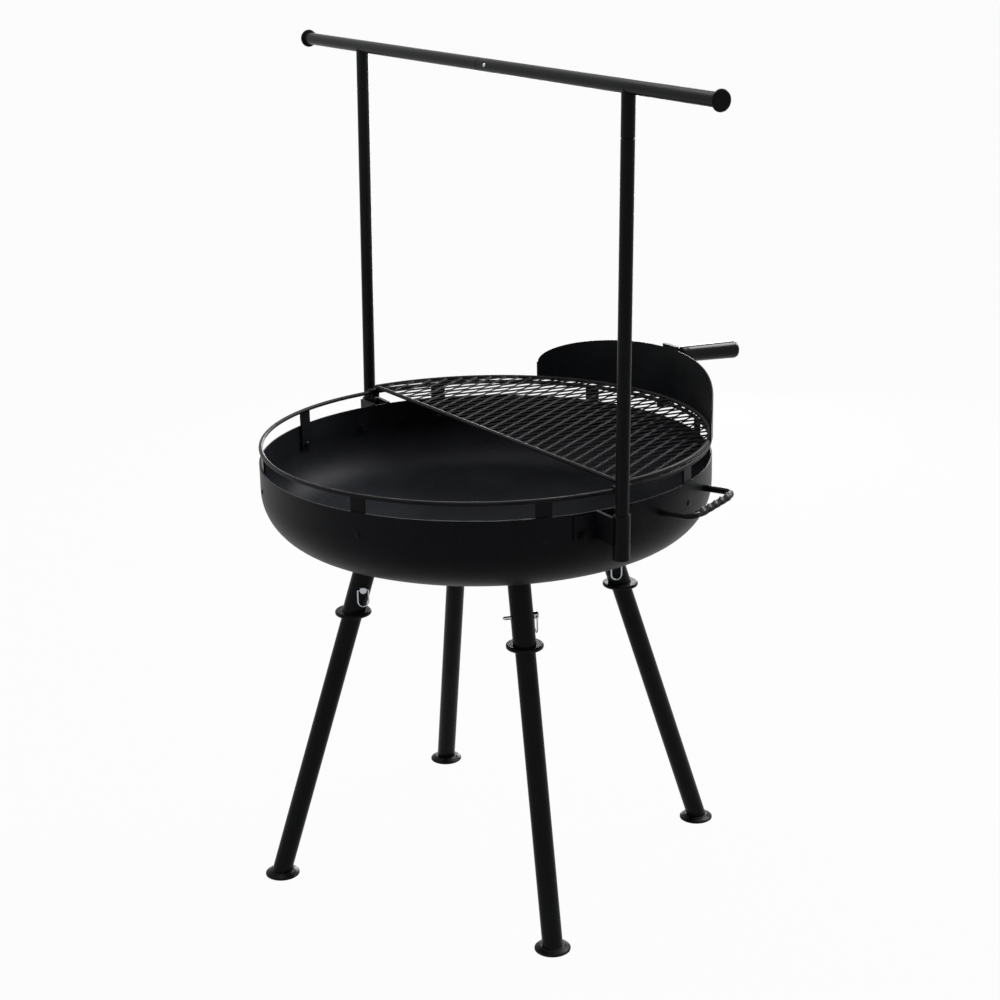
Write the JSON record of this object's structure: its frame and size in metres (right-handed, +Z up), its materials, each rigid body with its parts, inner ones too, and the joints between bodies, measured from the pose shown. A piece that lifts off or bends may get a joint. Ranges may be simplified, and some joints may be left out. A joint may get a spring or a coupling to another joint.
{
  "type": "fire pit grill",
  "caption": "Round fire pit grill on leaning legs: railed pan, half-moon mesh grate with heat shield and handle, carry handle, and a lift-out frame for hanging pots.",
  "frame": {"origin": "on the floor under the pan's axis", "axes": "+X along the crossbar, +Y towards the grate's handle, +Z up"},
  "size_m": [1.3092, 0.9277, 1.3946],
  "materials": {
    "black_coat": "satin black heat-proof coating on steel",
    "bright_zinc": "bright zinc plate",
    "grip_black": "glossy black lacquered grip"
  },
  "bodies": {
    "base": {"fire_pan": "black_coat", "rail_ring": "black_coat", "rail_tabs": "black_coat", "tab_rivets": "black_coat", "sleeve_l": "black_coat", "sleeve_r": "black_coat", "sleeve_bracket_l": "black_coat", "sleeve_bracket_r": "black_coat", "bracket_bolts": "black_coat", "bracket_nuts": "black_coat", "leg_socket_1": "black_coat", "leg_socket_2": "black_coat", "leg_socket_3": "black_coat", "leg_socket_4": "black_coat", "leg_tube_1": "black_coat", "leg_tube_2": "black_coat", "leg_tube_3": "black_coat", "leg_tube_4": "black_coat", "leg_collar_1": "black_coat", "leg_collar_2": "black_coat", "leg_collar_3": "black_coat", "leg_collar_4": "black_coat", "leg_foot_1": "black_coat", "leg_foot_2": "black_coat", "leg_foot_3": "black_coat", "leg_foot_4": "black_coat", "carry_handle": "black_coat"},
    "uprights": {"upright_l": "black_coat", "upright_r": "black_coat"},
    "crossbar": {"crossbar_l": "black_coat", "crossbar_r": "black_coat", "tee_stub_l": "black_coat", "tee_stub_r": "black_coat", "end_cap_l": "black_coat", "end_cap_r": "black_coat", "crossbar_spigot": "black_coat"},
    "snap_button": {"snap_button": "bright_zinc"},
    "grate": {"grate_frame": "black_coat", "grate_mesh": "black_coat", "grate_hooks": "black_coat", "heat_shield": "black_coat", "handle_lug": "black_coat", "handle_stem": "black_coat", "handle_grip": "grip_black"},
    "lock_pin_1": {"lock_pin_1": "bright_zinc"},
    "pin_ring_1": {"pin_ring_1": "bright_zinc"},
    "lock_pin_2": {"lock_pin_2": "bright_zinc"},
    "pin_ring_2": {"pin_ring_2": "bright_zinc"},
    "lock_pin_3": {"lock_pin_3": "bright_zinc"},
    "pin_ring_3": {"pin_ring_3": "bright_zinc"},
    "lock_pin_4": {"lock_pin_4": "bright_zinc"},
    "pin_ring_4": {"pin_ring_4": "bright_zinc"}
  },
  "joints": [
    {"name": "uprights_lift", "type": "slide", "parent": "base", "child": "uprights", "axis": [0, 0.019, 0.9998], "range_m": [0, 0.06]},
    {"name": "crossbar_lift", "type": "slide", "parent": "uprights", "child": "crossbar", "axis": [0, 0.019, 0.9998], "range_m": [0, 0.045]},
    {"name": "snap_button_press", "type": "slide", "parent": "crossbar", "child": "snap_button", "axis": [0, 0.9924, -0.1234], "range_m": [0, 0.004], "stiffness_N_per_m": 800},
    {"name": "grate_turn", "type": "hinge", "parent": "base", "child": "grate", "pos_m": [0, 0, 0.7717], "axis": [0, 0, 1], "range_deg": [-80, 80]},
    {"name": "lock_pin_1_pull", "type": "slide", "parent": "base", "child": "lock_pin_1", "axis": [0.9636, -0.2672, 0], "range_m": [0, 0.05]},
    {"name": "pin_ring_1_swing", "type": "hinge", "parent": "lock_pin_1", "child": "pin_ring_1", "pos_m": [0.08201, 0.20966, 0.519], "axis": [-0.2672, -0.9636, 0], "range_deg": [-5, 150]},
    {"name": "lock_pin_2_pull", "type": "slide", "parent": "base", "child": "lock_pin_2", "axis": [-0.2672, -0.9636, 0], "range_m": [0, 0.05]},
    {"name": "pin_ring_2_swing", "type": "hinge", "parent": "lock_pin_2", "child": "pin_ring_2", "pos_m": [-0.22195, 0.03768, 0.519], "axis": [-0.9636, 0.2672, 0], "range_deg": [-5, 150]},
    {"name": "lock_pin_3_pull", "type": "slide", "parent": "base", "child": "lock_pin_3", "axis": [0.9636, -0.2672, 0], "range_m": [0, 0.05]},
    {"name": "pin_ring_3_swing", "type": "hinge", "parent": "lock_pin_3", "child": "pin_ring_3", "pos_m": [-0.03768, -0.22195, 0.519], "axis": [-0.2672, -0.9636, 0], "range_deg": [-5, 150]},
    {"name": "lock_pin_4_pull", "type": "slide", "parent": "base", "child": "lock_pin_4", "axis": [0.2672, 0.9636, 0], "range_m": [0, 0.05]},
    {"name": "pin_ring_4_swing", "type": "hinge", "parent": "lock_pin_4", "child": "pin_ring_4", "pos_m": [0.22195, -0.03768, 0.519], "axis": [0.9636, -0.2672, 0], "range_deg": [-5, 150]}
  ]
}
